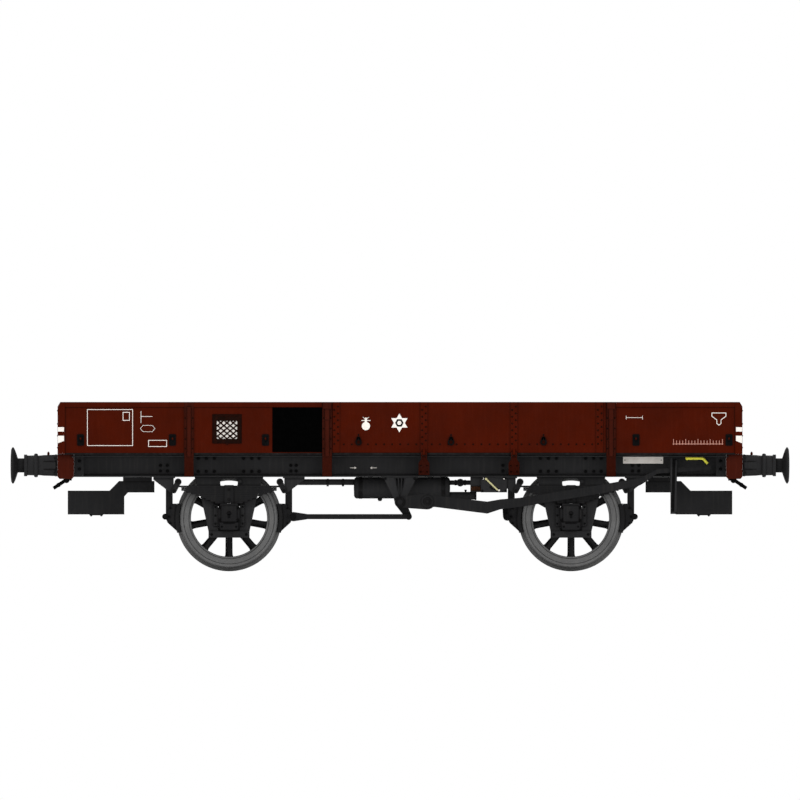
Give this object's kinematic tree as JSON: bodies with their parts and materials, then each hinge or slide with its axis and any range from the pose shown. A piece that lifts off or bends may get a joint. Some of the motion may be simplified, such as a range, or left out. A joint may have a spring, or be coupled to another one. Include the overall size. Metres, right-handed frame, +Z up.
{
  "type": "two-axle low-sided flat wagon",
  "caption": "Low-sided flat railway wagon with a planked floor, drop sides, spoked wheels on leaf springs, side buffers and a lever hand brake.",
  "frame": {"origin": "bottom centre of the whole wagon, at the height where the wheel flanges stand", "axes": "+X along the wagon, to the right in a view of the near side; +Y across it, away from the near side; +Z up"},
  "size_m": [8.542, 2.824, 1.856],
  "materials": {
    "side_paint": "matt red-brown paint, slightly dusty",
    "post_paint": "matt red-brown paint, a little lighter than the panels",
    "frame_paint": "matt black underframe paint",
    "iron_paint": "black running gear, cast and forged",
    "wheel_steel": "bare grey tyre and rim, dull",
    "deck_wood": "worn grey-brown planks"
  },
  "bodies": {
    "wagon_body": {"side_panel_near_1": "side_paint", "side_panel_near_2": "side_paint", "side_panel_near_3": "side_paint", "side_panel_far_1": "side_paint", "side_panel_far_2": "side_paint", "side_panel_far_3": "side_paint", "end_wall_left": "side_paint", "end_wall_right": "side_paint", "side_frame_near": "post_paint", "side_frame_far": "post_paint", "headstock_left": "post_paint", "headstock_right": "post_paint", "solebar_near": "frame_paint", "solebar_far": "frame_paint", "low_coupler_housing_left": "frame_paint", "buffer_housing_left_near": "frame_paint", "w_iron_left_near": "frame_paint", "buffer_housing_left_far": "frame_paint", "w_iron_left_far": "frame_paint", "low_coupler_housing_right": "frame_paint", "buffer_housing_right_near": "frame_paint", "w_iron_right_near": "frame_paint", "buffer_housing_right_far": "frame_paint", "w_iron_right_far": "frame_paint", "inner_frame": "frame_paint", "end_frame_left": "frame_paint", "end_frame_right": "frame_paint", "air_reservoir": "frame_paint", "push_rod_near": "iron_paint", "push_rod_far": "iron_paint", "drawhook_left": "iron_paint", "brake_beam_left_inner": "iron_paint", "brake_beam_left_outer": "iron_paint", "buffer_plunger_left_near": "iron_paint", "leaf_spring_left_near": "iron_paint", "axle_box_left_near": "iron_paint", "buffer_plunger_left_far": "iron_paint", "leaf_spring_left_far": "iron_paint", "axle_box_left_far": "iron_paint", "drawhook_right": "iron_paint", "brake_beam_right_inner": "iron_paint", "brake_beam_right_outer": "iron_paint", "buffer_plunger_right_near": "iron_paint", "leaf_spring_right_near": "iron_paint", "axle_box_right_near": "iron_paint", "buffer_plunger_right_far": "iron_paint", "leaf_spring_right_far": "iron_paint", "axle_box_right_far": "iron_paint", "pull_rod": "iron_paint", "brake_shaft": "iron_paint", "floor_planks": "deck_wood"},
    "wheelset_left": {"axle_left": "iron_paint", "wheel_left_near": "wheel_steel", "wheel_left_far": "wheel_steel"},
    "wheelset_right": {"axle_right": "iron_paint", "wheel_right_near": "wheel_steel", "wheel_right_far": "wheel_steel"},
    "drop_door_near": {"drop_door_near": "side_paint"},
    "drop_door_far": {"drop_door_far": "side_paint"},
    "hand_brake_lever": {"hand_brake_lever": "iron_paint"}
  },
  "joints": [
    {"name": "wheelset_left_turn", "type": "hinge", "parent": "wagon_body", "child": "wheelset_left", "pos_m": [-1.875, 0, 0.577], "axis": [0, 1, 0], "continuous": true},
    {"name": "wheelset_right_turn", "type": "hinge", "parent": "wagon_body", "child": "wheelset_right", "pos_m": [1.875, 0, 0.577], "axis": [0, 1, 0], "continuous": true},
    {"name": "door_near_drop", "type": "hinge", "parent": "wagon_body", "child": "drop_door_near", "pos_m": [0.756, -1.392, 1.29], "axis": [1, 0, 0], "range_deg": [0, 175]},
    {"name": "door_far_drop", "type": "hinge", "parent": "wagon_body", "child": "drop_door_far", "pos_m": [-0.756, 1.392, 1.29], "axis": [-1, 0, 0], "range_deg": [0, 175]},
    {"name": "hand_brake", "type": "hinge", "parent": "wagon_body", "child": "hand_brake_lever", "pos_m": [0, -1.15, 0.758], "axis": [0, 1, 0], "range_deg": [0, 8]}
  ]
}
